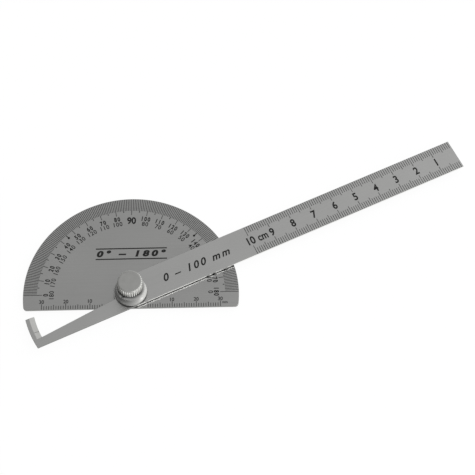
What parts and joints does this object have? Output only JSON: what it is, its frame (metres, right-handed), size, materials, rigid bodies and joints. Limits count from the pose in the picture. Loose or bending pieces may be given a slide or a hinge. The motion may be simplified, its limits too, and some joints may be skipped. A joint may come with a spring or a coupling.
{
  "type": "angle finder with ruler arm",
  "caption": "Half-disc protractor head with a pivoting graduated ruler arm, an index foot on the arm's tail and a knurled thumb nut that locks the angle.",
  "frame": {"origin": "on the pivot's axis, at the back of the pivot screw's head, which is the lowest face", "axes": "+Z out of the graduated faces towards the thumb nut, +X along the head's straight base edge towards the arm's end, +Y from the base edge towards the 90 degree mark"},
  "size_m": [0.1893, 0.0942, 0.0141],
  "materials": {
    "head_plate": "fine satin with etched black graduations",
    "arm_plate": "fine satin with etched black graduations",
    "screw": "turned",
    "washers": "plain blanked",
    "nut": "turned, knurled and nickel plated"
  },
  "bodies": {
    "head": {"protractor_head": "head_plate", "pivot_screw": "screw", "spacer_washer": "washers"},
    "arm": {"ruler_arm": "arm_plate"},
    "washer": {"knob_washer": "washers"},
    "nut": {"thumb_nut": "nut"}
  },
  "joints": [
    {"name": "arm_swing", "type": "hinge", "parent": "head", "child": "arm", "pos_m": [0, 0, 0.0035], "axis": [0, 0, 1], "continuous": true},
    {"name": "washer_lift", "type": "slide", "parent": "head", "child": "washer", "axis": [0, 0, 1], "range_m": [0, 0.004]},
    {"name": "nut_turn", "type": "hinge", "parent": "washer", "child": "nut", "pos_m": [0, 0, 0.0045], "axis": [0, 0, 1], "range_deg": [0, 1800]}
  ],
  "couplings": [
    {"joint": "washer_lift", "follows": "nut_turn", "m_per_rad": 0.00012732}
  ]
}
